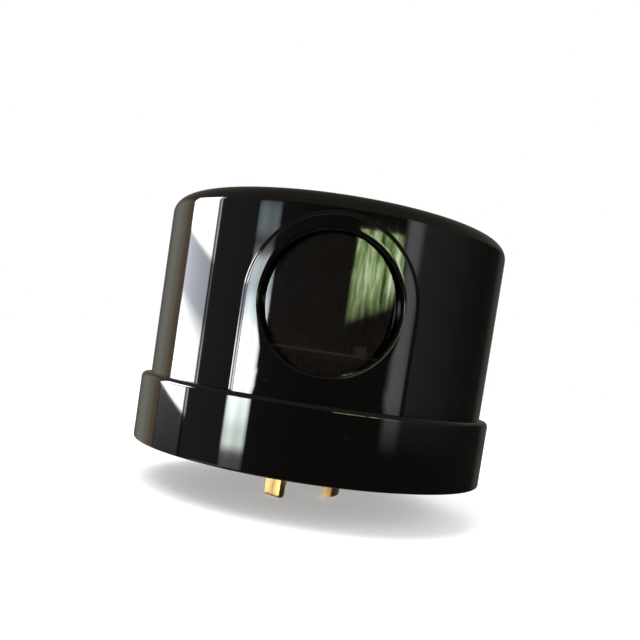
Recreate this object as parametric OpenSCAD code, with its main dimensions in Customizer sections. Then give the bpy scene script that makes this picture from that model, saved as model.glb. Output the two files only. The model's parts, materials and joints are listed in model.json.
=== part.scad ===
// Twist-lock photocontrol: a glossy cap with a round window in an arched boss,
// a plug base with three curved blades, and the relay and sensor circuit inside.
// The origin is on the plug's axis in the plane of the gasket's sealing face,
// +Z points up through the roof and the window looks along -Y.

/* [Cap] */
// Outer diameter of the skirt at the foot of the cap
skirt_d = 84; // [78:0.5:92]
// Height of the skirt
skirt_h = 15.3; // [14:0.1:18]
// How far the body steps in from the skirt
skirt_step = 2.1; // [1.8:0.1:3]
// Radius of the skirt's upper edge
skirt_edge_r = 1.2; // [0.6:0.1:1.6]
// Height of the cap from the skirt's lower edge to the middle of the roof
cap_h = 56.5; // [56:0.1:62]
// Rise of the domed roof at its middle
roof_rise = 0.7; // [0.4:0.1:1.2]
// Radius of the rounded edge round the roof
roof_edge_r = 3.3; // [2.5:0.1:3.6]
// Wall of the body and the roof
body_wall = 2.2; // [1.8:0.1:2.6]
// Wall of the skirt
skirt_wall = 2.4; // [2:0.1:3]
// Thickness of the ring seal between the base and the cap
cap_seal_t = 0.8; // [0.6:0.1:1.5]
// Diameter of the moulding gate's round mark on the roof
gate_d = 2.6; // [2:0.1:4]
// Height of the moulding gate's mark
gate_h = 0.25; // [0.1:0.05:0.5]

/* [Window] */
// Distance from the middle of the roof down to the boss's upper edge
boss_drop = 4.2; // [3.6:0.1:4.6]
// Width of the arched boss across its flat sides
boss_w = 33.9; // [33.5:0.1:36]
// How far the boss stands out from the body
boss_rise = 1.4; // [1:0.1:1.6]
// Width of the rounded step round the boss
boss_edge_w = 1.6; // [1.2:0.1:2]
// Diameter of the window opening
opening_d = 28; // [26:0.1:28.4]
// Depth of the lens behind the boss's face
lens_recess = 2.1; // [1.8:0.1:2.3]
// Thickness of the lens
lens_t = 1.6; // [1.2:0.1:2]
// Width of the lens's rim behind the opening's edge
lens_rim_w = 1.6; // [1.4:0.1:2]
// Thickness of the seal between the lens and the cap
lens_seal_t = 0.5; // [0.3:0.1:0.6]

/* [Base and gasket] */
// Depth of the base's underside inside the skirt
base_recess = 5.5; // [5:0.1:6]
// Thickness of the base
base_t = 3; // [2.5:0.1:3.3]
// How far the gasket stands below the skirt
gasket_proud = 0.6; // [0.3:0.1:1.2]
// Height of the low rib that locates the gasket
locating_rib_h = 1.5; // [1:0.1:2]
// Thickness of the low rib and of the stiffening ring
rib_t = 1.4; // [1:0.1:1.8]
// Height of the stiffening ring on top of the base
stiffener_h = 2; // [1:0.1:3]
// Diameter of the pillars under the circuit board
pillar_d = 6.6; // [6:0.1:7]
// Distance of the pillars from the board's edge
pillar_inset = 4; // [3.8:0.1:5]
// Turn of the pillars from the window
pillar_turn = 15.5; // [12:0.5:18]
// Diameter of the case screws' posts in the cap
post_d = 6.4; // [6:0.1:7]

/* [Plug blades] */
// Outer diameter of the line and load blades' circle
blade_circle_d = 22.8; // [22:0.1:24]
// Outer diameter of the neutral blade's circle
neutral_circle_d = 18.8; // [18:0.1:20]
// Thickness of the blades
blade_t = 2.6; // [2:0.1:2.8]
// Reach of the line and load blades below the base
blade_len = 15.2; // [14:0.1:17]
// How much shorter the neutral blade is
neutral_short = 1.2; // [0:0.1:1.5]
// Angle that a line or load blade's foot spans
blade_arc_angle = 23.2; // [20:0.2:28]
// Angle that the neutral blade's foot spans
neutral_arc_angle = 80; // [60:1:84]
// Angle of the locking notch above each foot
notch_arc_angle = 9; // [6:0.5:10]
// Height of the locking foot
foot_h = 6.2; // [5:0.1:7]
// Height of the locking notch
notch_h = 5; // [4:0.1:6]
// Angle of the line blade from the neutral blade, and of the load blade the other way
blade_turn = 128; // [122:1:132]
// Radius of the blades' rounded tips
tip_r = 0.6; // [0.3:0.1:0.9]
// Width of the blades' tongues on top of the base
tongue_w = 8; // [7:0.1:9]
// Thickness of the tongues
tongue_t = 1.5; // [1:0.1:1.8]
// Gap between a line or load blade and its rivet's head
rivet_gap = 2.3; // [2:0.1:3]
// Diameter of the rivets' shanks
rivet_d = 3.2; // [2.8:0.1:3.6]
// Diameter of the rivets' heads
rivet_head_d = 5.6; // [5:0.1:6]
// Height of the rivets' heads
rivet_head_h = 0.9; // [0.6:0.1:1.2]

/* [Circuit board] */
// Gap between the relay's cover and the roof
relay_headroom = 9.1; // [8:0.1:10]
// Thickness of the board
board_t = 1.6; // [1.2:0.1:2]
// Gap between the board's edge and the cap's wall
board_gap = 4.5; // [3:0.1:5]
// Thickness of the straps from the blades to the board
strap_t = 0.8; // [0.6:0.1:1]
// Width of the straps
strap_w = 6; // [5:0.1:7]
// Width of the straps' tabs in the board
strap_tab_w = 2.6; // [2:0.1:3]
// How far the tabs and leads stand out past the board
lead_proud = 1.5; // [1:0.1:2]

/* [Relay] */
// Width of the relay's cover
relay_w = 17; // [16:0.1:18]
// Wall of the relay's cover
relay_wall = 0.8; // [0.6:0.1:1]
// Thickness of the relay's base
relay_base_t = 2.5; // [2:0.1:2.6]
// Thickness of the yoke
yoke_t = 1.5; // [1.2:0.1:1.8]
// Width of the yoke
yoke_w = 10; // [9:0.1:11]
// Height of the yoke's leg above the relay's base
yoke_h = 12.1; // [12:0.1:12.3]
// Diameter of the coil's core
core_d = 4.4; // [4:0.1:4.8]
// Diameter of the bobbin's flanges
bobbin_d = 11.6; // [11:0.1:12]
// Thickness of the armature
armature_t = 1.2; // [1:0.1:1.3]
// Width of the armature
armature_w = 9; // [8:0.1:10]
// Angle that the armature stands open
armature_open = 3.5; // [3:0.1:3.6]
// Diameter of the contacts
contact_d = 2.8; // [2.4:0.1:3]

/* [Fits] */
// Running gap between pieces that move or drop in
fit_gap = 0.15; // [0.1:0.05:0.2]
// Gap between a screw or rivet and its hole
hole_gap = 0.1; // [0.05:0.05:0.15]
// Diameter of the screws
screw_d = 2.9; // [2.6:0.1:3.1]
// Diameter of the screws' heads
screw_head_d = 5.6; // [5:0.1:5.8]
// Height of the screws' heads
screw_head_h = 1.9; // [1.6:0.1:2]

/* [Hidden] */
$fn = 96;
// One overrun serves every cut
cut = 1;

// Relay, in its own frame: a chain along X from the coil, and one up Z from the base
coil_x = -0.8;
coil_leg_gap = 1.4;
coil_gap = 0.4;
pole_d = 7;
pole_h = 0.9;
pole_gap = 0.2;
bobbin_flange_t = 0.9;
bobbin_wall = 0.8;
armature_tail = 0.75;
armature_over = 1.3;
leaf_t = 0.3;
leaf_w = 4;
leaf_back = 8.5;
leaf_end = 0.1;
leaf_rivet_d = 1.4;
leaf_rivet_h = 0.4;
contact_room = 2.8;
contact_h = 0.6;
contact_shank_d = 1.1;
contact_gap = 0.06;
button_h = 0.5;
terminal_t = 0.4;
terminal_w = 4.6;
terminal_gap = 0.7;
spring_t = 0.25;
spring_w = 5;
spring_low_z = 3;
spring_bend_z = 8.5;
spring_gap = 0.5;
cover_gap = 0.2;
cover_room = 0.27;
pin_d = 0.9;
pin_x_shares = [-0.8, -0.53, 0.8];
pin_y_share = 0.65;
relay_x = -6;
relay_y = 1;
relay_in_w = relay_w - 2 * relay_wall;
leg_x = coil_x - bobbin_d / 2 - coil_leg_gap - yoke_t;
armature_front_x = coil_x + pole_d / 2 + armature_over;
leaf_back_x = armature_front_x - leaf_back;
contact_x = armature_front_x + contact_room + contact_d / 2;
leaf_front_x = contact_x + contact_d / 2 + leaf_end;
terminal_x = leaf_front_x + terminal_gap;
cover_low_x = leg_x - armature_tail - spring_gap - spring_t - cover_gap;
cover_high_x = terminal_x + terminal_t + 2 * cover_gap;
hinge_x = leg_x + yoke_t / 2;
yoke_z = relay_base_t;
foot_top_z = yoke_z + yoke_t;
leg_top_z = yoke_z + yoke_h;
armature_z = leg_top_z + fit_gap;
pole_z = armature_z - pole_gap;
hinge_z = armature_z + armature_t / 2;
leaf_z = armature_z + armature_t;
contact_lift = (contact_x + contact_d / 2 - hinge_x) * sin(armature_open);
contact_top_z = leaf_z + leaf_t + contact_h + contact_lift;
button_z = contact_top_z + contact_gap;
terminal_z = button_z + button_h;
relay_h = terminal_z + terminal_t + cover_room + relay_wall;

// Levels, all measured from the gasket's sealing face
skirt_z = gasket_proud;
ledge_z = skirt_z + skirt_h;
roof_z = skirt_z + cap_h;
side_z = roof_z - roof_rise - roof_edge_r;
window_z = roof_z - boss_drop - boss_edge_w / 2 - boss_w / 2;
base_z = skirt_z + base_recess;
base_mid_z = base_z + base_t / 2;
base_top_z = base_z + base_t;
shoulder_z = base_top_z + cap_seal_t;
inner_edge_r = roof_edge_r - body_wall / 2;
roof_in_z = side_z + inner_edge_r;
board_top_z = roof_in_z - relay_headroom - relay_h;
board_z = board_top_z - board_t;

// Radii of the cap
skirt_r = skirt_d / 2;
body_r = skirt_r - skirt_step;
body_in_r = body_r - body_wall;
skirt_in_r = skirt_r - skirt_wall;
roof_flat_r = body_r - roof_edge_r;
roof_sphere_r = (roof_flat_r * roof_flat_r + roof_rise * roof_rise) / (2 * roof_rise);
face_r = body_r + boss_rise;
lens_out_r = face_r - lens_recess;
lens_in_r = lens_out_r - lens_t;
pocket_r = lens_out_r + lens_seal_t;
opening_r = opening_d / 2;
lens_rim_r = opening_r + lens_rim_w;
base_r = skirt_in_r - fit_gap;
pocket_back_share = 0.7;
pocket_back_y = body_in_r * pocket_back_share;
board_r = body_in_r - board_gap;

// Shape of the boss's rounded step
boss_half_w = boss_w / 2;
boss_steps = 5;
boss_columns = 28;
boss_sunk = 0.08;
boss_root = body_wall / 2;
boss_foot_z = ledge_z - skirt_edge_r - boss_rise;

// Case screws and pillars stand by turns round the base
spoke = 120;
half_spoke = spoke / 2;
quarter_turn = 90;
window_angle = -quarter_turn;
pillar_angle = window_angle + pillar_turn;
screw_angle = pillar_angle + half_spoke;
post_sunk = 0.2;
post_share = 0.6;
post_top_z = base_top_z + post_share * (board_z - base_top_z);
screw_circle_r = body_in_r + post_sunk - post_d / 2;
cap_seal_in_r = body_in_r + post_sunk + fit_gap;
pillar_circle_r = board_r - pillar_inset;
pillar_top_z = board_z;
gusset_l = 4;
gusset_h = 7;
counterbore_d = screw_head_d + 4 * fit_gap;
counterbore_h = screw_head_h + fit_gap;
case_screw_l = 9;
board_screw_l = 8;
driver_w = 1;
driver_h = 0.9;

// Blades and straps
neutral_angle = 0;
line_angle = neutral_angle - blade_turn;
load_angle = neutral_angle + blade_turn;
blade_r = blade_circle_d / 2;
neutral_r = neutral_circle_d / 2;
rivet_reach = blade_r + rivet_gap + rivet_head_d / 2;
tongue_out_r = rivet_reach + tongue_w / 2;
strap_z = base_top_z + tongue_t;
strap_out_r = tongue_out_r + strap_t;
strap_bend_r = 1.2;

// Gasket, locating rib and stiffening ring
rivet_out_r = rivet_reach + rivet_head_d / 2;
gasket_in_share = 0.335;
gasket_in_r = rivet_out_r + gasket_in_share * (base_r - rivet_out_r);
gasket_out_r = base_r - 1.5 * fit_gap;
locating_rib_r = gasket_in_r - fit_gap;
gasket_w = gasket_out_r - gasket_in_r;
gasket_edge_r = 0.5;
stiffener_gap = 1.4;
stiffener_in_r = strap_out_r + stiffener_gap;

// Pieces on the board: places from the axis, then sizes
lead_d = 0.7;
lead_r = lead_d / 2;
lead_hole_r = lead_r + hole_gap;
sensor_x = 0;
sensor_inset = 4.6;
sensor_y = sensor_inset - board_r;
sensor_d = 5;
sensor_body_l = 5.8;
sensor_flange_d = 5.8;
sensor_flange_t = 1;
sensor_lead_pitch = 2.54;
sensor_lead_back = 2;
holder_w = 7;
holder_l = 4.6;
holder_top_h = 4.2;
film_x = 1.5;
film_y = 16.5;
film_l = 18;
film_w = 8.5;
film_h = 14.5;
film_pitch = 15;
filter_x = 14.5;
filter_y = -12;
filter_d = 10;
filter_h = 12.5;
filter_pitch = 5;
filter_groove = 0.5;
filter_foot_h = 1.9;
varistor_x = 14.5;
varistor_y = 9.5;
varistor_d = 10.5;
varistor_t = 4;
varistor_pitch = 7.5;
varistor_lift = 1.2;
power_x = -2;
power_y = -14.3;
power_d = 4.4;
power_l = 11;
power_pitch = 15;
resistor_xs = [-5, 5.2, -8.2];
resistor_ys = [22.3, 22.3, -18.4];
resistor_d = 2.2;
resistor_l = 6;
resistor_pitch = 9;
diode_xs = [-13.6, -4.9, 3.8, -16];
diode_ys = [-9.9, -9.9, -9.9, -13.2];
diode_d = 2.6;
diode_l = 4.6;
diode_pitch = 7.6;
band_w = 0.9;
band_rise = 0.06;
transistor_x = 12;
transistor_y = -20;
transistor_d = 4.8;
transistor_flat = 1.2;
transistor_h = 4.8;
transistor_lift = 2.5;
transistor_pitch = 1.27;

// Every hole that a lead needs, as [x, y] on the board
lead_places = concat(
    pair(film_x, film_y, film_pitch), pair(filter_x, filter_y, filter_pitch),
    pair(varistor_x, varistor_y, varistor_pitch), pair(power_x, power_y, power_pitch),
    [for (i = [0 : len(resistor_ys) - 1]) each pair(resistor_xs[i], resistor_ys[i], resistor_pitch)],
    [for (i = [0 : len(diode_ys) - 1]) each pair(diode_xs[i], diode_ys[i], diode_pitch)],
    [for (k = [-1 : 1]) [transistor_x + k * transistor_pitch, transistor_y]],
    pair(sensor_x, sensor_y + holder_l / 2 + sensor_lead_back, sensor_lead_pitch));
pin_places = [for (x = pin_x_shares, s = [-1, 1])
    [relay_x + x * cover_high_x, relay_y + s * pin_y_share * relay_w / 2]];

function pair(x, y, pitch) = [[x - pitch / 2, y], [x + pitch / 2, y]];

// A point of the arched boss: offset from its outline, and radius from the axis
function arch_x(i, offset) = (boss_half_w + offset) * cos(180 * i / boss_columns);
function arch_z(i, offset) = window_z + (boss_half_w + offset) * sin(180 * i / boss_columns);
function on_drum(x, z, radius) = [x, -sqrt(radius * radius - x * x), z];
function arch_loop(offset, radius) = concat(
    [for (i = [0 : boss_columns]) on_drum(arch_x(i, offset), arch_z(i, offset), radius)],
    [for (i = [boss_columns : -1 : 0]) on_drum(arch_x(i, offset), boss_foot_z, radius)]);
// Share of the rise at each step of the rounded edge, from the body's surface to the face
function step_share(k) = (1 - cos(180 * k / boss_steps)) / 2;

module at_spokes(first_angle, reach) {
    for (i = [0 : 2])
        rotate([0, 0, first_angle + i * spoke])
            translate([reach, 0, 0])
                children();
}

module rod(r, z_low, z_high) {
    translate([0, 0, z_low])
        cylinder(r = r, h = z_high - z_low);
}

module tube(r_out, r_in, z_low, z_high) {
    difference() {
        rod(r_out, z_low, z_high);
        rod(r_in, z_low - cut, z_high + cut);
    }
}

// A rod along -Y through the middle of the window
module window_rod(r, y_back) {
    translate([0, -y_back, window_z])
        rotate([quarter_turn, 0, 0])
            cylinder(r = r, h = skirt_r);
}

module cap_outside_2d() {
    translate([0, skirt_z]) {
        square([skirt_r, skirt_h - skirt_edge_r]);
        square([skirt_r - skirt_edge_r, skirt_h]);
        translate([skirt_r - skirt_edge_r, skirt_h - skirt_edge_r])
            circle(r = skirt_edge_r);
    }
    translate([0, skirt_z])
        square([body_r, side_z - skirt_z]);
    translate([roof_flat_r, side_z])
        circle(r = roof_edge_r);
    intersection() {
        translate([0, roof_z - roof_sphere_r])
            circle(r = roof_sphere_r, $fn = 720);
        translate([0, skirt_z])
            square([roof_flat_r, cap_h + cut]);
    }
}

module cap_inside_2d() {
    translate([0, -cut])
        square([skirt_in_r, shoulder_z + cut]);
    translate([0, -cut])
        square([body_in_r, side_z + cut]);
    translate([0, -cut])
        square([body_in_r - inner_edge_r, side_z + inner_edge_r + cut]);
    translate([body_in_r - inner_edge_r, side_z])
        circle(r = inner_edge_r);
}

// The arched boss: a rounded step round an arch, wrapped on the body's drum
module window_boss() {
    offsets = [for (k = [0 : boss_steps]) boss_edge_w * (1 / 2 - k / boss_steps)];
    radii = [for (k = [0 : boss_steps]) body_r - boss_sunk + (boss_rise + boss_sunk) * step_share(k)];
    loops = concat([arch_loop(offsets[0], body_r - boss_root)],
        [for (k = [0 : boss_steps]) arch_loop(offsets[k], radii[k])]);
    size = 2 * (boss_columns + 1);
    last = len(loops) - 1;
    sides = [for (k = [0 : last - 1], i = [0 : size - 1])
        let (a = k * size + i, b = k * size + (i + 1) % size)
        each [[a, b + size, b], [a, a + size, b + size]]];
    back = [for (i = [0 : boss_columns - 1])
        let (c = size - 1 - i)
        each [[i, c - 1, c], [i, i + 1, c - 1]]];
    front = [for (i = [0 : boss_columns - 1])
        let (a = last * size + i, c = last * size + size - 1 - i)
        each [[a, c, c - 1], [a, c - 1, a + 1]]];
    polyhedron(points = [for (l = loops) each l], faces = concat(sides, back, front), convexity = 4);
}

module cap() {
    color([0.05, 0.05, 0.05])
        difference() {
            union() {
                rotate_extrude()
                    difference() {
                        intersection() {
                            cap_outside_2d();
                            square([skirt_d, cap_h + skirt_z]);
                        }
                        cap_inside_2d();
                    }
                window_boss();
                rod(gate_d / 2, roof_z - body_wall / 2, roof_z + gate_h);
                at_spokes(screw_angle, screw_circle_r)
                    rod(post_d / 2, base_top_z + fit_gap, post_top_z);
            }
            window_rod(opening_r, pocket_back_y);
            intersection() {
                window_rod(lens_rim_r + fit_gap, pocket_back_y);
                rod(pocket_r, window_z - boss_w, window_z + boss_w);
            }
            at_spokes(screw_angle, screw_circle_r)
                rod(screw_d / 2 + hole_gap, base_z, base_top_z + case_screw_l);
        }
}

module window_lens() {
    color([0.16, 0.17, 0.15, 0.5])
        intersection() {
            window_rod(lens_rim_r, pocket_back_y);
            tube(lens_out_r, lens_in_r, window_z - boss_w, window_z + boss_w);
        }
}

module lens_seal() {
    color([0.2, 0.2, 0.2])
        intersection() {
            difference() {
                window_rod(lens_rim_r, pocket_back_y);
                window_rod(opening_r, pocket_back_y - cut);
            }
            tube(pocket_r, lens_out_r, window_z - boss_w, window_z + boss_w);
        }
}

// The flat ring between the base's rim and the cap's shoulder
module cap_seal() {
    color([0.55, 0.2, 0.15])
        tube(base_r, cap_seal_in_r, base_top_z, shoulder_z);
}

module blade_slot(outer_r, span) {
    gap_turn = atan(fit_gap / (outer_r - blade_t));
    rotate([0, 0, -span / 2 - gap_turn])
        rotate_extrude(angle = span - notch_arc_angle + 2 * gap_turn)
            translate([outer_r - blade_t - fit_gap, base_z - cut])
                square([blade_t + 2 * fit_gap, base_t + 2 * cut]);
}

module base_plate() {
    color([0.22, 0.13, 0.08])
        difference() {
            union() {
                rod(base_r, base_z, base_top_z);
                tube(locating_rib_r, locating_rib_r - rib_t, base_z - locating_rib_h, base_mid_z);
                tube(stiffener_in_r + rib_t, stiffener_in_r, base_mid_z, base_top_z + stiffener_h);
                at_spokes(pillar_angle, pillar_circle_r) {
                    rod(pillar_d / 2, base_mid_z, pillar_top_z);
                    gusset();
                    mirror([0, 1, 0]) gusset();
                }
            }
            at_spokes(pillar_angle, pillar_circle_r)
                rod(screw_d / 2 + hole_gap, pillar_top_z - board_screw_l, pillar_top_z + cut);
            at_spokes(screw_angle, screw_circle_r) {
                rod(screw_d / 2 + 2 * hole_gap, base_z - cut, base_top_z + cut);
                rod(counterbore_d / 2, base_z - cut, base_z + counterbore_h);
            }
            rotate([0, 0, line_angle]) blade_slot(blade_r, blade_arc_angle);
            rotate([0, 0, load_angle]) blade_slot(blade_r, blade_arc_angle);
            rotate([0, 0, neutral_angle]) blade_slot(neutral_r, neutral_arc_angle);
            for (a = [line_angle, load_angle, neutral_angle])
                rotate([0, 0, a])
                    translate([rivet_reach, 0, 0])
                        rod(rivet_d / 2 + hole_gap, base_z - cut, base_top_z + cut);
        }
}

// A triangular web at a pillar's foot
module gusset() {
    rotate([quarter_turn, 0, quarter_turn])
        translate([0, 0, -rib_t / 2])
            linear_extrude(rib_t)
                polygon([[0, base_mid_z], [pillar_d / 2 + gusset_l, base_mid_z],
                    [pillar_d / 2 + gusset_l, base_top_z], [pillar_d / 2, base_top_z + gusset_h],
                    [0, base_top_z + gusset_h]]);
}

module base_gasket() {
    color([0.12, 0.12, 0.12])
        rotate_extrude()
            difference() {
                translate([gasket_in_r, 0])
                    square([gasket_w, base_z]);
                translate([gasket_in_r, 0])
                    corner_cut(gasket_edge_r);
                translate([gasket_out_r, 0])
                    mirror([1, 0]) corner_cut(gasket_edge_r);
            }
}

// What a rounded corner loses
module corner_cut(r) {
    difference() {
        translate([-cut, -cut])
            square([r + cut, r + cut]);
        translate([r, r])
            circle(r = r);
    }
}

module screw(z_head, length) {
    difference() {
        union() {
            rod(screw_head_d / 2, z_head, z_head + screw_head_h);
            rod(screw_d / 2, z_head - length, z_head);
        }
        for (a = [0, quarter_turn])
            rotate([0, 0, a])
                translate([-screw_head_d / 3, -driver_w / 2, z_head + screw_head_h - driver_h])
                    cube([screw_head_d * 2 / 3, driver_w, driver_h + cut]);
    }
}

module case_screws() {
    color([0.7, 0.7, 0.72])
        at_spokes(screw_angle, screw_circle_r)
            translate([0, 0, base_z + counterbore_h])
                mirror([0, 0, 1])
                    screw(0, base_t - counterbore_h + case_screw_l - 2 * cut);
}

module board_screws() {
    color([0.7, 0.7, 0.72])
        at_spokes(pillar_angle, pillar_circle_r)
            screw(board_top_z, board_t + board_screw_l - cut);
}

// A curved blade: a foot, a narrower stem past the locking notch, and a tongue on the base
module blade(outer_r, span, length) {
    tip_z = base_z - length;
    blade_arc(outer_r, span, span - notch_arc_angle, tip_z, strap_z);
    blade_arc(outer_r, span, span, tip_z, tip_z + foot_h);
    blade_arc(outer_r, span, span, tip_z + foot_h + notch_h, base_z, 0);
    difference() {
        translate([outer_r - blade_t / 2, -tongue_w / 2, base_top_z])
            cube([tongue_out_r - outer_r + blade_t / 2, tongue_w, tongue_t]);
        translate([rivet_reach, 0, 0])
            rod(rivet_d / 2 + hole_gap, base_z, strap_z + cut);
    }
}

// An arc of the blade that starts where the foot starts
module blade_arc(outer_r, span, arc, z_low, z_high, r = tip_r) {
    rotate([0, 0, -span / 2])
        rotate_extrude(angle = arc)
            translate([outer_r - blade_t, 0])
                blade_edge_2d(z_low, z_high, r);
}

// The blade's section: straight sides and rounded lower corners
module blade_edge_2d(z_low, z_high, r = tip_r) {
    translate([0, z_low + r])
        square([blade_t, z_high - z_low - r]);
    if (r > 0) {
        translate([r, z_low])
            square([blade_t - 2 * r, r + r]);
        for (x = [r, blade_t - r])
            translate([x, z_low + r])
                circle(r = r);
    }
}

module line_blade() {
    color([0.83, 0.66, 0.3])
        rotate([0, 0, line_angle])
            blade(blade_r, blade_arc_angle, blade_len);
}

module load_blade() {
    color([0.83, 0.66, 0.3])
        rotate([0, 0, load_angle])
            blade(blade_r, blade_arc_angle, blade_len);
}

module neutral_blade() {
    color([0.83, 0.66, 0.3])
        rotate([0, 0, neutral_angle])
            blade(neutral_r, neutral_arc_angle, blade_len - neutral_short);
}

module blade_rivets() {
    color([0.8, 0.66, 0.35])
        for (a = [line_angle, load_angle, neutral_angle])
            rotate([0, 0, a])
                translate([rivet_reach, 0, 0]) {
                    rod(rivet_d / 2, base_z, strap_z + strap_t);
                    rod(rivet_head_d / 2, base_z - rivet_head_h, base_z);
                    rod(rivet_head_d / 2, strap_z + strap_t, strap_z + strap_t + rivet_head_h);
                }
}

// A bent strap from a blade's rivet up into the board
module strap() {
    difference() {
        union() {
            translate([rivet_reach - strap_w / 2, -strap_w / 2, strap_z])
                cube([strap_out_r - strap_bend_r - rivet_reach + strap_w / 2, strap_w, strap_t]);
            translate([strap_out_r - strap_t, -strap_w / 2, strap_z + strap_bend_r])
                cube([strap_t, strap_w, board_z - strap_z - strap_bend_r]);
            translate([strap_out_r - strap_bend_r, strap_w / 2, strap_z + strap_bend_r])
                rotate([quarter_turn, 0, 0])
                    linear_extrude(strap_w)
                        intersection() {
                            difference() {
                                circle(r = strap_bend_r);
                                circle(r = strap_bend_r - strap_t);
                            }
                            translate([0, -strap_bend_r])
                                square(strap_bend_r);
                        }
            translate([strap_out_r - strap_t, -strap_tab_w / 2, board_z - strap_t])
                cube([strap_t, strap_tab_w, strap_t + board_t + lead_proud]);
        }
        translate([rivet_reach, 0, 0])
            rod(rivet_d / 2 + hole_gap, strap_z - cut, strap_z + strap_t + cut);
    }
}

module line_strap() {
    color([0.85, 0.62, 0.4]) rotate([0, 0, line_angle]) strap();
}

module load_strap() {
    color([0.85, 0.62, 0.4]) rotate([0, 0, load_angle]) strap();
}

module neutral_strap() {
    color([0.85, 0.62, 0.4]) rotate([0, 0, neutral_angle]) strap();
}

module circuit_board() {
    color([0.1, 0.35, 0.18])
        difference() {
            rod(board_r, board_z, board_top_z);
            at_spokes(pillar_angle, pillar_circle_r)
                rod(screw_d / 2 + 2 * hole_gap, board_z - cut, board_top_z + cut);
            for (a = [line_angle, load_angle, neutral_angle])
                rotate([0, 0, a])
                    translate([strap_out_r - strap_t - hole_gap, -strap_tab_w / 2 - hole_gap, board_z - cut])
                        cube([strap_t + 2 * hole_gap, strap_tab_w + 2 * hole_gap, board_t + 2 * cut]);
            for (p = lead_places)
                translate(p)
                    rod(lead_hole_r, board_z - cut, board_top_z + cut, $fn = 24);
            for (p = pin_places)
                translate(p)
                    rod(pin_d / 2 + hole_gap, board_z - cut, board_top_z + cut, $fn = 24);
        }
}

// The relay's own frame: the middle of its base on the board
module in_relay() {
    translate([relay_x, relay_y, board_top_z])
        children();
}

// The armature and what it carries are drawn closed and turned open about the hinge
module on_armature() {
    in_relay()
        translate([hinge_x, 0, hinge_z])
            rotate([0, -armature_open, 0])
                translate([-hinge_x, 0, -hinge_z])
                    children();
}

module centred_box(x_low, x_high, width, z_low, z_high) {
    translate([x_low, -width / 2, z_low])
        cube([x_high - x_low, width, z_high - z_low]);
}

module relay_base() {
    color([0.15, 0.15, 0.17])
        in_relay()
            centred_box(cover_low_x + fit_gap, cover_high_x - fit_gap,
                relay_in_w - 2 * fit_gap, 0, relay_base_t);
}

module relay_pins() {
    color([0.8, 0.8, 0.82])
        for (p = pin_places)
            translate(p)
                rod(pin_d / 2, board_z - lead_proud, board_top_z, $fn = 24);
}

module relay_yoke() {
    color([0.6, 0.6, 0.62])
        in_relay() {
            centred_box(leg_x, coil_x + bobbin_d / 2, yoke_w, yoke_z, foot_top_z);
            centred_box(leg_x, leg_x + yoke_t, yoke_w, foot_top_z, leg_top_z);
        }
}

module relay_core() {
    color([0.65, 0.65, 0.67])
        in_relay()
            translate([coil_x, 0, 0]) {
                rod(core_d / 2, foot_top_z, pole_z);
                rod(pole_d / 2, pole_z - pole_h, pole_z);
            }
}

module relay_bobbin() {
    flange_top = pole_z - pole_h;
    tube_r = core_d / 2 + hole_gap;
    color([0.9, 0.9, 0.86])
        in_relay()
            translate([coil_x, 0, 0]) {
                tube(bobbin_d / 2, tube_r, foot_top_z, foot_top_z + bobbin_flange_t);
                tube(bobbin_d / 2, tube_r, flange_top - bobbin_flange_t, flange_top);
                tube(tube_r + bobbin_wall, tube_r, foot_top_z, flange_top);
            }
}

module relay_coil() {
    color([0.72, 0.35, 0.15])
        in_relay()
            translate([coil_x, 0, 0])
                tube(bobbin_d / 2 - coil_gap, core_d / 2 + hole_gap + bobbin_wall,
                    foot_top_z + bobbin_flange_t, pole_z - pole_h - bobbin_flange_t);
}

module relay_armature() {
    color([0.62, 0.62, 0.64])
        on_armature() {
            centred_box(leg_x - armature_tail, armature_front_x, armature_w, armature_z, leaf_z);
            for (s = [-1, 1])
                translate([(leaf_back_x + armature_front_x) / 2 + s * leaf_rivet_d * 2, 0, 0])
                    rod(leaf_rivet_d / 2, leaf_z, leaf_z + leaf_t + leaf_rivet_h, $fn = 32);
        }
}

module contact_leaf() {
    color([0.78, 0.58, 0.34])
        on_armature()
            difference() {
                centred_box(leaf_back_x, leaf_front_x, leaf_w, leaf_z, leaf_z + leaf_t);
                for (s = [-1, 1])
                    translate([(leaf_back_x + armature_front_x) / 2 + s * leaf_rivet_d * 2, 0, 0])
                        rod(leaf_rivet_d / 2 + hole_gap, leaf_z - cut, leaf_z + cut, $fn = 32);
                translate([contact_x, 0, 0])
                    rod(contact_shank_d / 2 + hole_gap, leaf_z - cut, leaf_z + cut, $fn = 32);
            }
}

module moving_contact() {
    color([0.88, 0.88, 0.88])
        on_armature()
            translate([contact_x, 0, 0]) {
                rod(contact_d / 2, leaf_z - contact_h, leaf_z, $fn = 48);
                rod(contact_shank_d / 2, leaf_z - contact_h, leaf_z + leaf_t + contact_h, $fn = 32);
                rod(contact_d / 2, leaf_z + leaf_t, leaf_z + leaf_t + contact_h, $fn = 48);
            }
}

module fixed_contact() {
    color([0.88, 0.88, 0.88])
        in_relay()
            translate([contact_x, 0, 0])
                rod(contact_d / 2, button_z, terminal_z, $fn = 48);
}

module contact_terminal() {
    color([0.8, 0.6, 0.35])
        in_relay() {
            centred_box(terminal_x, terminal_x + terminal_t, terminal_w, relay_base_t, terminal_z + terminal_t);
            centred_box(contact_x - contact_d / 2, terminal_x, terminal_w, terminal_z, terminal_z + terminal_t);
        }
}

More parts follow.
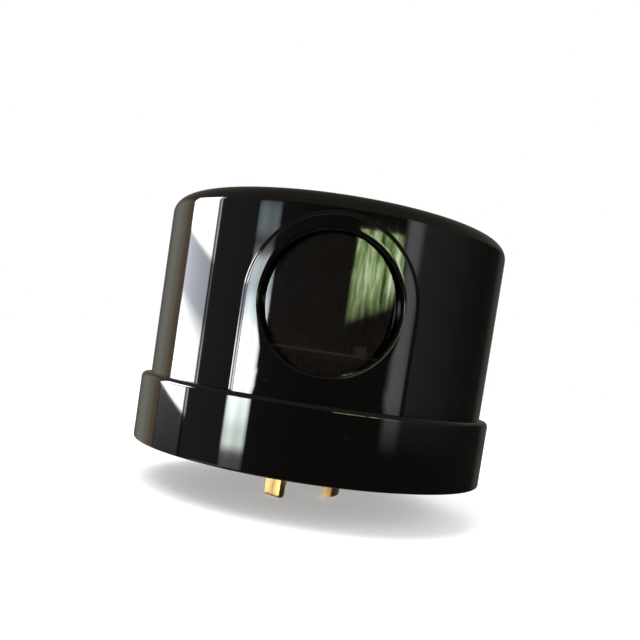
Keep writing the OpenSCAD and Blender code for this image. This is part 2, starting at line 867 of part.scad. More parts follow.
// A bent leaf, flat on the yoke's leg and hooked over the armature's tail
module armature_spring() {
    tail_x = leg_x - armature_tail - spring_gap;
    hook_z = leaf_z + spring_gap / 2;
    color([0.75, 0.75, 0.72])
        in_relay()
            translate([0, spring_w / 2, 0])
                rotate([quarter_turn, 0, 0])
                    linear_extrude(spring_w)
                        polygon([
                            [leg_x, spring_low_z + yoke_t], [leg_x, spring_bend_z],
                            [tail_x, spring_bend_z + yoke_t], [tail_x, hook_z],
                            [leg_x, hook_z], [leg_x, hook_z + spring_t],
                            [tail_x - spring_t, hook_z + spring_t], [tail_x - spring_t, spring_bend_z + yoke_t],
                            [leg_x - spring_t, spring_bend_z], [leg_x - spring_t, spring_low_z + yoke_t]]);
}

module relay_cover() {
    color([0.16, 0.25, 0.5])
        in_relay()
            difference() {
                centred_box(cover_low_x - relay_wall, cover_high_x + relay_wall, relay_w, 0, relay_h);
                centred_box(cover_low_x, cover_high_x, relay_in_w, -cut, relay_h - relay_wall);
            }
}

// A lead that drops through the board
module lead(x, y, z_top) {
    translate([x, y, 0])
        rod(lead_r, board_z - lead_proud, z_top, $fn = 24);
}

// A rod along X between two leads that bend down into the board
module axial_leads(x, y, z, pitch) {
    for (p = pair(x, y, pitch)) {
        lead(p[0], p[1], z);
        translate([p[0], p[1], z])
            sphere(r = lead_r, $fn = 24);
    }
    translate([x - pitch / 2, y, z])
        rotate([0, quarter_turn, 0])
            cylinder(r = lead_r, h = pitch, $fn = 24);
}

module light_sensor() {
    front_y = sensor_y - holder_l / 2;
    back_y = sensor_y + holder_l / 2;
    lead_y = back_y + sensor_lead_back;
    color([0.75, 0.8, 0.8])
        translate([sensor_x, 0, window_z]) {
            translate([0, back_y, 0])
                rotate([quarter_turn, 0, 0]) {
                    cylinder(r = sensor_d / 2, h = sensor_body_l);
                    translate([0, 0, sensor_body_l])
                        sphere(r = sensor_d / 2, $fn = 48);
                }
            translate([0, back_y + sensor_flange_t, 0])
                rotate([quarter_turn, 0, 0])
                    cylinder(r = sensor_flange_d / 2, h = sensor_flange_t);
            for (s = [-1, 1])
                translate([s * sensor_lead_pitch / 2, lead_y, 0]) {
                    rotate([quarter_turn, 0, 0])
                        cylinder(r = lead_r, h = sensor_lead_back, $fn = 24);
                    sphere(r = lead_r, $fn = 24);
                    rod(lead_r, board_z - lead_proud - window_z, 0, $fn = 24);
                }
        }
}

module sensor_holder() {
    color([0.1, 0.1, 0.1])
        difference() {
            translate([sensor_x - holder_w / 2, sensor_y - holder_l / 2, board_top_z])
                cube([holder_w, holder_l, window_z - board_top_z + holder_top_h]);
            translate([sensor_x, sensor_y + holder_l / 2 + cut, window_z])
                rotate([quarter_turn, 0, 0])
                    cylinder(r = sensor_d / 2 + hole_gap, h = holder_l + 2 * cut);
        }
}

module film_capacitor() {
    color([0.85, 0.7, 0.15]) {
        translate([film_x - film_l / 2, film_y - film_w / 2, board_top_z])
            cube([film_l, film_w, film_h]);
        for (p = pair(film_x, film_y, film_pitch))
            lead(p[0], p[1], board_top_z + cut);
    }
}

module filter_capacitor() {
    color([0.12, 0.14, 0.2]) {
        translate([filter_x, filter_y, board_top_z]) {
            rod(filter_d / 2, 0, filter_foot_h);
            rod(filter_d / 2 - filter_groove, 0, filter_h);
            rod(filter_d / 2, filter_foot_h + filter_groove * 2, filter_h - filter_groove);
        }
        for (p = pair(filter_x, filter_y, filter_pitch))
            lead(p[0], p[1], board_top_z + cut);
    }
}

module varistor() {
    round_r = varistor_t / 4;
    color([0.15, 0.3, 0.7]) {
        translate([varistor_x, varistor_y, board_top_z + varistor_lift + varistor_d / 2])
            rotate([quarter_turn, 0, 0])
                rotate_extrude() {
                    translate([0, -varistor_t / 2])
                        square([varistor_d / 2 - round_r, varistor_t]);
                    translate([0, -varistor_t / 2 + round_r])
                        square([varistor_d / 2, varistor_t - 2 * round_r]);
                    for (s = [-1, 1])
                        translate([varistor_d / 2 - round_r, s * (varistor_t / 2 - round_r)])
                            circle(r = round_r, $fn = 32);
                }
        for (p = pair(varistor_x, varistor_y, varistor_pitch))
            lead(p[0], p[1], board_top_z + varistor_lift + varistor_d / 2);
    }
}

// A resistor's body: a barrel with two thicker ends
module resistor_body(x, y, d, l) {
    translate([x - l / 2, y, board_top_z + d / 2])
        rotate([0, quarter_turn, 0]) {
            cylinder(r = d / 2 - band_rise * d, h = l, $fn = 48);
            cylinder(r = d / 2, h = l / 4, $fn = 48);
            translate([0, 0, l * 3 / 4])
                cylinder(r = d / 2, h = l / 4, $fn = 48);
        }
}

module power_resistor() {
    color([0.6, 0.62, 0.66]) {
        resistor_body(power_x, power_y, power_d, power_l);
        axial_leads(power_x, power_y, board_top_z + power_d / 2, power_pitch);
    }
}

module small_resistors() {
    color([0.35, 0.6, 0.75])
        for (i = [0 : len(resistor_ys) - 1]) {
            resistor_body(resistor_xs[i], resistor_ys[i], resistor_d, resistor_l);
            axial_leads(resistor_xs[i], resistor_ys[i], board_top_z + resistor_d / 2, resistor_pitch);
        }
}

module diodes() {
    color([0.14, 0.14, 0.14])
        for (i = [0 : len(diode_ys) - 1]) {
            translate([diode_xs[i] - diode_l / 2, diode_ys[i], board_top_z + diode_d / 2])
                rotate([0, quarter_turn, 0]) {
                    cylinder(r = diode_d / 2 - band_rise, h = diode_l, $fn = 48);
                    translate([0, 0, diode_l - 2 * band_w])
                        cylinder(r = diode_d / 2, h = band_w, $fn = 48);
                }
            axial_leads(diode_xs[i], diode_ys[i], board_top_z + diode_d / 2, diode_pitch);
        }
}

module transistor() {
    color([0.12, 0.12, 0.13]) {
        translate([transistor_x, transistor_y, board_top_z + transistor_lift])
            difference() {
                rod(transistor_d / 2, 0, transistor_h);
                translate([-transistor_d, -transistor_d - transistor_flat, -cut])
                    cube([2 * transistor_d, transistor_d, transistor_h + 2 * cut]);
            }
        for (k = [-1 : 1])
            lead(transistor_x + k * transistor_pitch, transistor_y, board_top_z + transistor_lift + cut);
    }
}

cap();
window_lens();
lens_seal();
cap_seal();
base_plate();
base_gasket();
case_screws();
line_blade();
load_blade();
neutral_blade();
blade_rivets();
line_strap();
load_strap();
neutral_strap();
circuit_board();
board_screws();
relay_base();
relay_pins();
relay_yoke();
relay_core();
relay_bobbin();
relay_coil();
relay_armature();
contact_leaf();
moving_contact();
fixed_contact();
contact_terminal();
armature_spring();
relay_cover();
light_sensor();
sensor_holder();
film_capacitor();
filter_capacitor();
varistor();
power_resistor();
small_resistors();
diodes();
transistor();
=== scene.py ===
# Twist-lock photocontrol: glossy cap with a smoked window, plug base, relay circuit inside
import bmesh
import bpy
import json
from math import sin, cos, asin, sqrt, pi, radians
from mathutils import Matrix, Vector


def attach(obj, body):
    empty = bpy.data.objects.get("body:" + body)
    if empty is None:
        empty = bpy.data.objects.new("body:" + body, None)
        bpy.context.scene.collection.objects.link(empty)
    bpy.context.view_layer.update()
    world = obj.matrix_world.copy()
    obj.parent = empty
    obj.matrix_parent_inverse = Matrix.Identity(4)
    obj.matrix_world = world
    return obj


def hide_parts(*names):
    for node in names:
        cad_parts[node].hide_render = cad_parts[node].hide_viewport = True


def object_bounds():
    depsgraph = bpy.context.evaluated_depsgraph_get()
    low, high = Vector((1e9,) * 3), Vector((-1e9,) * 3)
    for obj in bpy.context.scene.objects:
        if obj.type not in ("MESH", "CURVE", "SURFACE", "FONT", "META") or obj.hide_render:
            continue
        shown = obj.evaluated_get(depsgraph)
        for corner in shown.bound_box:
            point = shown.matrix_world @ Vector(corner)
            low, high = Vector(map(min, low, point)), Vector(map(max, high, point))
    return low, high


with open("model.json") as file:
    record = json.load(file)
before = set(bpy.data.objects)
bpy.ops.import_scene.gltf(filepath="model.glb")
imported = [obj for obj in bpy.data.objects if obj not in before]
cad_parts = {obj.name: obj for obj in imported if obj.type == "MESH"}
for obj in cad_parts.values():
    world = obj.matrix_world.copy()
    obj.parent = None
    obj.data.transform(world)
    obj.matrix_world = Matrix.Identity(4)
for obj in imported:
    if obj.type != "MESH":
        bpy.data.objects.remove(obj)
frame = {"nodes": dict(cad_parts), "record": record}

scene = bpy.context.scene
mm = 0.001
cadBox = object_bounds()
print("frame loaded:", len(frame["nodes"]), "nodes")


def turned(radius, angle, z):
    # a point on a drum round the axis, angle 0 towards the window and 90 degrees towards +X
    return (radius * sin(angle), -radius * cos(angle), z)


def onDrum(x, z, radius):
    return (x, -sqrt(radius * radius - x * x), z)


def arc(centreR, centreZ, radius, start, end, count):
    return [(centreR + radius * cos(start + (end - start) * i / count),
             centreZ + radius * sin(start + (end - start) * i / count)) for i in range(count + 1)]


class MeshMaker:
    # collects points in millimetres and makes one mesh object in metres
    sharpAngle = 30

    def __init__(self):
        self.points, self.faces = [], []

    def add(self, points):
        start = len(self.points)
        self.points.extend(points)
        return list(range(start, start + len(points)))

    def skin(self, rowA, rowB, closed=False, flip=False):
        # quads between two rows of indices with as many points
        count = len(rowA)
        for i in range(count if closed else count - 1):
            k = (i + 1) % count
            face = [rowA[i], rowA[k], rowB[k], rowB[i]]
            face = [v for n, v in enumerate(face) if v not in face[:n]]
            if len(face) > 2:
                self.faces.append(face[::-1] if flip else face)

    def fan(self, row, centre, flip=False):
        for i in range(len(row)):
            face = [row[i], row[(i + 1) % len(row)], centre]
            self.faces.append(face[::-1] if flip else face)

    def revolve(self, profile, columns, closed=True, centre=(0, 0)):
        # turns a profile of (radius, height) round an upright axis through centre
        rings = []
        for r, z in profile:
            points = [turned(r, 2 * pi * j / columns, z) for j in range(columns)]
            rings.append(self.add([(x + centre[0], y + centre[1], z) for x, y, z in points]))
        pairs = list(zip(rings, rings[1:])) + ([(rings[-1], rings[0])] if closed else [])
        for low, high in pairs:
            self.skin(low, high, closed=True)

    def build(self, name, closedSolid=True):
        mesh = bpy.data.meshes.new(name)
        mesh.from_pydata([[c * mm for c in p] for p in self.points], [], self.faces)
        mesh.validate()
        if closedSolid:
            # all faces turned outwards
            outward = bmesh.new()
            outward.from_mesh(mesh)
            bmesh.ops.recalc_face_normals(outward, faces=outward.faces)
            outward.to_mesh(mesh)
            outward.free()
        mesh.update()
        mesh.shade_smooth()
        mesh.set_sharp_from_angle(angle=radians(self.sharpAngle))
        obj = bpy.data.objects.new(name, mesh)
        scene.collection.objects.link(obj)
        return obj


def dress(obj, slotName):
    # puts a new piece on the housing with the finish of its slot
    obj.data.materials.append(materials[slotName])
    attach(obj, "housing")


# Shader groups that several finishes share
def newGroup(name, inputs, outputs):
    # inputs: name -> default, where three numbers make a colour
    group = bpy.data.node_groups.new(name, "ShaderNodeTree")
    for label, value in inputs.items():
        kind = "NodeSocketColor" if isinstance(value, tuple) else "NodeSocketFloat"
        socket = group.interface.new_socket(name=label, in_out="INPUT", socket_type=kind)
        socket.default_value = (*value, 1) if isinstance(value, tuple) else value
    for label, kind in outputs.items():
        group.interface.new_socket(name=label, in_out="OUTPUT", socket_type=kind)
    return group, Wiring(group)


class Wiring:
    # short ways to add and join nodes in one tree
    def __init__(self, tree):
        self.nodes, self.links = tree.nodes, tree.links

    def node(self, kind, values=None, **settings):
        # only the nodes at a group's ends have no Shader in their full name
        made = self.nodes.new("ShaderNode" + kind if kind[:5] != "NodeG" else kind)
        for key, value in settings.items():
            setattr(made, key, value)
        for key, value in (values or {}).items():
            self.feed(made.inputs[key], value)
        return made

    def feed(self, socket, value):
        if isinstance(value, bpy.types.NodeSocket):
            self.links.new(value, socket)
        elif isinstance(value, tuple) and socket.type == "RGBA":
            socket.default_value = (*value, 1) if len(value) == 3 else value
        else:
            socket.default_value = value

    def math(self, operation, first, second=None, clamp=False):
        made = self.node("Math", {0: first}, operation=operation, use_clamp=clamp)
        if second is not None:
            self.feed(made.inputs[1], second)
        return made.outputs[0]

    def fit(self, value, low, high, toLow=0.0, toHigh=1.0):
        made = self.node("MapRange", {"Value": value, "From Min": low, "From Max": high,
                                      "To Min": toLow, "To Max": toHigh})
        return made.outputs["Result"]

    def noise(self, scale, detail=2.0, place=None):
        made = self.node("TexNoise", {"Scale": scale, "Detail": detail})
        self.links.new(place or self.node("TexCoord").outputs["Object"], made.inputs["Vector"])
        return made.outputs["Fac"]


patterns = {
    # limits: the values between which a pattern goes from none to full
    "toneLimits": (0.35, 0.7), "glossLimits": (0.4, 0.75), "streakLimits": (0.5, 0.8),
    "speckLimits": (0.1, 0.04), "dustLimits": (0.55, 0.7), "lineLimits": (0.45, 0.75),
    # streaks: how much finer than the patches, their stretch along Z, and the shares of both
    "streakScale": 6.0, "streakStretch": (1, 1, 0.12), "patchShare": 0.6, "streakShare": 0.4,
    # ripples and dusty places per metre
    "rippleScale": 70.0, "dustScale": 180.0,
    # how far a face looks up, and the share of dust that goes with it
    "upLimits": (-0.2, 1.0), "upDust": (0.25, 1.0),
}


def makeUnevenColor():
    # slow drift of a colour, with a second tone in the hollows
    group, w = newGroup("unevenColor", {"Color": (0.5, 0.5, 0.5), "Second Color": (0.4, 0.4, 0.4),
                                        "Scale": 60.0, "Amount": 0.3}, {"Color": "NodeSocketColor"})
    inward, out = w.node("NodeGroupInput"), w.node("NodeGroupOutput")
    coarse = w.fit(w.noise(inward.outputs["Scale"], 4.0), *patterns["toneLimits"])
    mix = w.node("Mix", {0: w.math("MULTIPLY", coarse, inward.outputs["Amount"]), 6: inward.outputs["Color"],
                         7: inward.outputs["Second Color"]}, data_type="RGBA")
    w.feed(out.inputs["Color"], mix.outputs[2])
    return group


def makeUnevenGloss():
    # roughness that wanders a little, with wiped streaks
    group, w = newGroup("unevenGloss", {"Roughness": 0.3, "Spread": 0.1, "Scale": 90.0},
                        {"Roughness": "NodeSocketFloat"})
    inward, out = w.node("NodeGroupInput"), w.node("NodeGroupOutput")
    patch = w.fit(w.noise(inward.outputs["Scale"], 3.0), *patterns["glossLimits"])
    place = w.node("Mapping", {"Vector": w.node("TexCoord").outputs["Object"],
                               "Scale": patterns["streakStretch"]})
    fine = w.math("MULTIPLY", inward.outputs["Scale"], patterns["streakScale"])
    streak = w.fit(w.noise(fine, 2.0, place.outputs[0]), *patterns["streakLimits"])
    both = w.math("ADD", w.math("MULTIPLY", patch, patterns["patchShare"]),
                  w.math("MULTIPLY", streak, patterns["streakShare"]))
    w.feed(out.inputs["Roughness"],
           w.math("ADD", inward.outputs["Roughness"], w.math("MULTIPLY", both, inward.outputs["Spread"])))
    return group


def makeMouldGrain():
    # fine moulded texture over a slow ripple, for a Bump node
    group, w = newGroup("mouldGrain", {"Scale": 900.0, "Fine": 0.5, "Ripple": 0.3},
                        {"Height": "NodeSocketFloat"})
    inward, out = w.node("NodeGroupInput"), w.node("NodeGroupOutput")
    fine = w.math("MULTIPLY", w.noise(inward.outputs["Scale"], 3.0), inward.outputs["Fine"])
    slow = w.math("MULTIPLY", w.noise(patterns["rippleScale"], 1.0), inward.outputs["Ripple"])
    w.feed(out.inputs["Height"], w.math("ADD", fine, slow))
    return group


def makeDustSpecks():
    # small scattered specks, denser on faces that look up
    group, w = newGroup("dustSpecks", {"Scale": 700.0, "Amount": 0.5}, {"Mask": "NodeSocketFloat"})
    inward, out = w.node("NodeGroupInput"), w.node("NodeGroupOutput")
    cells = w.node("TexVoronoi", {"Vector": w.node("TexCoord").outputs["Object"],
                                  "Scale": inward.outputs["Scale"], "Randomness": 1.0})
    speck = w.fit(cells.outputs["Distance"], *patterns["speckLimits"])
    some = w.fit(w.noise(patterns["dustScale"], 2.0), *patterns["dustLimits"])
    upward = w.node("SeparateXYZ", {0: w.node("NewGeometry").outputs["Normal"]})
    facing = w.fit(upward.outputs["Z"], *patterns["upLimits"], *patterns["upDust"])
    mask = w.math("MULTIPLY", w.math("MULTIPLY", speck, some), facing)
    w.feed(out.inputs["Mask"], w.math("MULTIPLY", mask, inward.outputs["Amount"], clamp=True))
    return group


def makeDrawnLines():
    # fine lines left by rolling or drawing a metal, along Z
    group, w = newGroup("drawnLines", {"Scale": 1200.0, "Stretch": 0.04},
                        {"Height": "NodeSocketFloat", "Mask": "NodeSocketFloat"})
    inward, out = w.node("NodeGroupInput"), w.node("NodeGroupOutput")
    along = w.node("CombineXYZ", {0: 1.0, 1: 1.0, 2: inward.outputs["Stretch"]})
    place = w.node("Mapping", {"Vector": w.node("TexCoord").outputs["Object"], "Scale": along.outputs[0]})
    lines = w.noise(inward.outputs["Scale"], 2.0, place.outputs[0])
    w.feed(out.inputs["Height"], lines)
    w.feed(out.inputs["Mask"], w.fit(lines, *patterns["lineLimits"]))
    return group


groups = {"unevenColor": makeUnevenColor(), "unevenGloss": makeUnevenGloss(), "mouldGrain": makeMouldGrain(),
          "dustSpecks": makeDustSpecks(), "drawnLines": makeDrawnLines()}
print("shader groups made:", len(groups))


# Finishes
materials = {}


def startMaterial(name):
    material = bpy.data.materials.new(name)
    material.use_nodes = True
    w = Wiring(material.node_tree)
    materials[name] = material
    return w, w.nodes["Principled BSDF"]


def place(w, groupName, **values):
    made = w.node("Group", node_tree=groups[groupName])
    for key, value in values.items():
        w.feed(made.inputs[key.replace("_", " ")], value)
    return made


def bump(w, shader, height, depth):
    made = w.node("Bump", {"Height": height, "Distance": depth * mm, "Strength": 1.0})
    w.links.new(made.outputs[0], shader.inputs["Normal"])


plastics = {
    # color and second tone, its share and patches per metre; roughness and spread
    # grain per metre and its depth in mm; dust
    "cap_plastic": {"color": (0.0022, 0.0019, 0.0018), "second": (0.0034, 0.003, 0.0027), "share": 0.5,
                    "patch": 40.0, "rough": 0.03, "spread": 0.03, "grain": 500.0, "depth": 0.0006,
                    "dust": 0.5},
    "base_plastic": {"color": (0.05, 0.027, 0.016), "second": (0.09, 0.055, 0.035), "share": 0.7,
                     "patch": 260.0, "rough": 0.32, "spread": 0.2, "grain": 1400.0, "depth": 0.02,
                     "dust": 0.3},
    "seal_rubber": {"color": (0.022, 0.022, 0.022), "second": (0.035, 0.034, 0.033), "share": 0.6,
                    "patch": 200.0, "rough": 0.6, "spread": 0.2, "grain": 1500.0, "depth": 0.02, "dust": 0.2},
    "silicone": {"color": (0.45, 0.12, 0.08), "second": (0.38, 0.09, 0.06), "share": 0.6, "patch": 150.0,
                 "rough": 0.42, "spread": 0.15, "grain": 900.0, "depth": 0.01, "dust": 0.2},
    "relay_black": {"color": (0.028, 0.028, 0.03), "second": (0.045, 0.045, 0.047), "share": 0.5,
                    "patch": 300.0, "rough": 0.42, "spread": 0.15, "grain": 1800.0, "depth": 0.012,
                    "dust": 0.2},
    "bobbin_white": {"color": (0.78, 0.77, 0.72), "second": (0.7, 0.68, 0.6), "share": 0.5, "patch": 200.0,
                     "rough": 0.4, "spread": 0.15, "grain": 1200.0, "depth": 0.008, "dust": 0.1},
    "relay_blue": {"color": (0.05, 0.12, 0.35), "second": (0.04, 0.1, 0.3), "share": 0.6, "patch": 160.0,
                   "rough": 0.28, "spread": 0.12, "grain": 1300.0, "depth": 0.008, "dust": 0.2},
    "film_yellow": {"color": (0.74, 0.53, 0.06), "second": (0.66, 0.45, 0.045), "share": 0.6, "patch": 120.0,
                    "rough": 0.3, "spread": 0.12, "grain": 900.0, "depth": 0.008, "dust": 0.2},
    "sleeve_dark": {"color": (0.025, 0.035, 0.075), "second": (0.04, 0.05, 0.1), "share": 0.5, "patch": 220.0,
                    "rough": 0.3, "spread": 0.12, "grain": 700.0, "depth": 0.01, "dust": 0.1},
    "varistor_blue": {"color": (0.05, 0.16, 0.5), "second": (0.04, 0.12, 0.42), "share": 0.7, "patch": 260.0,
                      "rough": 0.25, "spread": 0.15, "grain": 500.0, "depth": 0.03, "dust": 0.1},
    "resistor_grey": {"color": (0.4, 0.42, 0.46), "second": (0.3, 0.32, 0.36), "share": 0.6, "patch": 400.0,
                      "rough": 0.5, "spread": 0.15, "grain": 1600.0, "depth": 0.02, "dust": 0.1},
    "resistor_blue": {"color": (0.2, 0.42, 0.55), "second": (0.16, 0.36, 0.48), "share": 0.6, "patch": 400.0,
                      "rough": 0.3, "spread": 0.12, "grain": 800.0, "depth": 0.02, "dust": 0.1},
}

# dust's colour, and how much it dulls the gloss
dust = {"color": (0.32, 0.3, 0.27), "rough": 0.5}


def makePlastic(name, v):
    w, shader = startMaterial(name)
    tone = place(w, "unevenColor", Color=v["color"], Second_Color=v["second"], Scale=v["patch"],
                 Amount=v["share"])
    specks = place(w, "dustSpecks", Amount=v["dust"]).outputs["Mask"]
    mix = w.node("Mix", {0: specks, 6: tone.outputs["Color"], 7: dust["color"]}, data_type="RGBA")
    w.links.new(mix.outputs[2], shader.inputs["Base Color"])
    gloss = place(w, "unevenGloss", Roughness=v["rough"], Spread=v["spread"])
    w.links.new(w.math("ADD", gloss.outputs["Roughness"], w.math("MULTIPLY", specks, dust["rough"])),
                shader.inputs["Roughness"])
    grain = place(w, "mouldGrain", Scale=v["grain"])
    bump(w, shader, grain.outputs["Height"], v["depth"])


metals = {
    # color and tarnish, tarnish share; roughness and spread; lines per metre and depth in mm
    "screw_steel": {"color": (0.6, 0.6, 0.62), "tarnish": (0.42, 0.41, 0.4), "share": 0.5, "rough": 0.24,
                    "spread": 0.2, "lines": 1500.0, "depth": 0.006},
    "blade_brass": {"color": (0.83, 0.57, 0.23), "tarnish": (0.62, 0.38, 0.14), "share": 0.35, "rough": 0.27,
                    "spread": 0.12, "lines": 1400.0, "depth": 0.003},
    "strap_copper": {"color": (0.72, 0.42, 0.24), "tarnish": (0.45, 0.22, 0.12), "share": 0.5, "rough": 0.28,
                     "spread": 0.2, "lines": 1200.0, "depth": 0.006},
    "tinned_lead": {"color": (0.74, 0.74, 0.75), "tarnish": (0.6, 0.6, 0.6), "share": 0.4, "rough": 0.28,
                    "spread": 0.2, "lines": 1500.0, "depth": 0.004},
    "relay_steel": {"color": (0.55, 0.55, 0.57), "tarnish": (0.42, 0.41, 0.4), "share": 0.5, "rough": 0.3,
                    "spread": 0.15, "lines": 1500.0, "depth": 0.006},
    "contact_bronze": {"color": (0.74, 0.49, 0.27), "tarnish": (0.5, 0.3, 0.15), "share": 0.4, "rough": 0.26,
                       "spread": 0.15, "lines": 1500.0, "depth": 0.004},
    "contact_silver": {"color": (0.85, 0.85, 0.85), "tarnish": (0.6, 0.58, 0.55), "share": 0.4, "rough": 0.22,
                       "spread": 0.2, "lines": 1500.0, "depth": 0.004},
}

# sizes of the tarnish and of the gloss's patches per metre, and how much the drawn lines dull the gloss
metalWear = {"tarnishScale": 220.0, "glossScale": 300.0, "lineRough": 0.08}


def makeMetal(name, v):
    w, shader = startMaterial(name)
    shader.inputs["Metallic"].default_value = 1
    lines = place(w, "drawnLines", Scale=v["lines"])
    tone = place(w, "unevenColor", Color=v["color"], Second_Color=v["tarnish"],
                 Scale=metalWear["tarnishScale"], Amount=v["share"])
    w.links.new(tone.outputs["Color"], shader.inputs["Base Color"])
    gloss = place(w, "unevenGloss", Roughness=v["rough"], Spread=v["spread"], Scale=metalWear["glossScale"])
    streak = w.math("MULTIPLY", lines.outputs["Mask"], metalWear["lineRough"])
    w.links.new(w.math("ADD", gloss.outputs["Roughness"], streak), shader.inputs["Roughness"])
    bump(w, shader, lines.outputs["Height"], v["depth"])


for name, values in plastics.items():
    makePlastic(name, values)
for name, values in metals.items():
    makeMetal(name, values)

# skin and pores; cells per metre and depth in mm
foam = {"color": (0.028, 0.028, 0.03), "second": (0.05, 0.05, 0.052), "cells": 1600.0, "depth": 0.12,
        "poreFrom": 0.15, "poreTo": 0.5, "patch": 80.0, "share": 0.4, "rough": 0.88}


def makeFoam():
    # closed-cell foam: small round pores over a soft matt skin
    w, shader = startMaterial("gasket_foam")
    cells = w.node("TexVoronoi", {"Vector": w.node("TexCoord").outputs["Object"], "Scale": foam["cells"]})
    pore = w.fit(cells.outputs["Distance"], foam["poreFrom"], foam["poreTo"])
    tone = w.node("Mix", {0: pore, 6: foam["color"], 7: foam["second"]}, data_type="RGBA")
    uneven = place(w, "unevenColor", Color=tone.outputs[2], Second_Color=foam["color"], Scale=foam["patch"],
                   Amount=foam["share"])
    w.links.new(uneven.outputs["Color"], shader.inputs["Base Color"])
    shader.inputs["Roughness"].default_value = foam["rough"]
    bump(w, shader, pore, foam["depth"])


board = {
    # solder mask, plain and over copper; copper runs, their gaps, shape and breaks; depth in mm
    "mask": (0.02, 0.15, 0.055), "overCopper": (0.06, 0.3, 0.12), "runs": 190.0, "gap": 0.022, "soft": 0.2,
    "runLength": 1.6, "runWidth": 0.7, "breaks": 150.0, "breakLimits": (0.48, 0.5), "depth": 0.03,
    "rough": 0.28, "spread": 0.15,
    # cut edge: how upright its face is, its colours, and where its pale line starts, in metres
    "sideLimits": (0.6, 0.3), "edge": (0.08, 0.07, 0.05), "edgeLine": (0.95, 0.85, 0.62),
    "lineFrom": 0.0256, "lineTo": 0.0257,
}


def makeBoard():
    # solder mask over copper runs, which show as lighter raised lanes, and a pale line along the cut edge
    w, shader = startMaterial("board_green")
    lanes = w.node("TexBrick", {"Vector": w.node("TexCoord").outputs["Object"], "Scale": board["runs"],
                                "Mortar Size": board["gap"], "Mortar Smooth": board["soft"],
                                "Brick Width": board["runLength"], "Row Height": board["runWidth"]})
    broken = w.fit(w.noise(board["breaks"], 1.0), *board["breakLimits"])
    copper = w.math("MULTIPLY", lanes.outputs["Fac"], broken)
    tone = w.node("Mix", {0: copper, 6: board["mask"], 7: board["overCopper"]}, data_type="RGBA")
    facing = w.node("SeparateXYZ", {"Vector": w.node("NewGeometry").outputs["Normal"]})
    side = w.fit(w.math("ABSOLUTE", facing.outputs["Z"]), *board["sideLimits"])
    level = w.node("SeparateXYZ", {"Vector": w.node("TexCoord").outputs["Object"]})
    upper = w.fit(level.outputs["Z"], board["lineFrom"], board["lineTo"])
    edge = w.node("Mix", {0: upper, 6: board["edge"], 7: board["edgeLine"]}, data_type="RGBA")
    cut = w.node("Mix", {0: side, 6: tone.outputs[2], 7: edge.outputs[2]}, data_type="RGBA")
    w.links.new(cut.outputs[2], shader.inputs["Base Color"])
    gloss = place(w, "unevenGloss", Roughness=board["rough"], Spread=board["spread"])
    w.links.new(gloss.outputs["Roughness"], shader.inputs["Roughness"])
    bump(w, shader, copper, board["depth"])


# wire and the gaps between its turns; depth in mm
coil = {"wire": (0.5, 0.17, 0.05), "between": (0.12, 0.03, 0.01), "bands": 260.0, "wobble": 0.4,
        "depth": 0.08, "metallic": 0.6, "rough": 0.25, "spread": 0.15}


def makeCoilWire():
    # enamelled turns of fine wire, side by side up the bobbin
    w, shader = startMaterial("coil_wire")
    turns = w.node("TexWave", {"Vector": w.node("TexCoord").outputs["Object"], "Scale": coil["bands"],
                               "Distortion": coil["wobble"], "Detail": 1.0}, bands_direction="Z")
    tone = w.node("Mix", {0: turns.outputs["Fac"], 6: coil["between"], 7: coil["wire"]}, data_type="RGBA")
    w.links.new(tone.outputs[2], shader.inputs["Base Color"])
    shader.inputs["Metallic"].default_value = coil["metallic"]
    gloss = place(w, "unevenGloss", Roughness=coil["rough"], Spread=coil["spread"])
    w.links.new(gloss.outputs["Roughness"], shader.inputs["Roughness"])
    bump(w, shader, turns.outputs["Fac"], coil["depth"])


clears = {
    # color and second tone; roughness and spread; index of refraction; depth of the mould's marks in mm
    "smoked_lens": {"color": (0.19, 0.155, 0.125), "second": (0.14, 0.115, 0.095), "rough": 0.015,
                    "spread": 0.03, "ior": 1.49, "depth": 0.002},
    "sensor_clear": {"color": (0.8, 0.85, 0.85), "second": (0.7, 0.78, 0.78), "rough": 0.03, "spread": 0.04,
                     "ior": 1.52, "depth": 0.002},
}

# patches and mould marks per metre, the second tone's share, and how fine and slow marks add up
clearWear = {"patch": 50.0, "share": 0.6, "grain": 300.0, "fine": 0.1, "ripple": 0.5}


def makeClear(name, v):
    w, shader = startMaterial(name)
    tone = place(w, "unevenColor", Color=v["color"], Second_Color=v["second"], Scale=clearWear["patch"],
                 Amount=clearWear["share"])
    w.links.new(tone.outputs["Color"], shader.inputs["Base Color"])
    gloss = place(w, "unevenGloss", Roughness=v["rough"], Spread=v["spread"])
    w.links.new(gloss.outputs["Roughness"], shader.inputs["Roughness"])
    shader.inputs["Transmission Weight"].default_value = 1
    shader.inputs["IOR"].default_value = v["ior"]
    grain = place(w, "mouldGrain", Scale=clearWear["grain"], Fine=clearWear["fine"],
                  Ripple=clearWear["ripple"])
    bump(w, shader, grain.outputs["Height"], v["depth"])


makeFoam()
makeBoard()
makeCoilWire()
for name, values in clears.items():
    makeClear(name, values)
for entry in frame["record"]["subparts"]:
    node = frame["nodes"][entry["node"]]
    node.data.materials.clear()
    node.data.materials.append(materials[entry["material_slot"]])
print("finishes made:", len(materials))


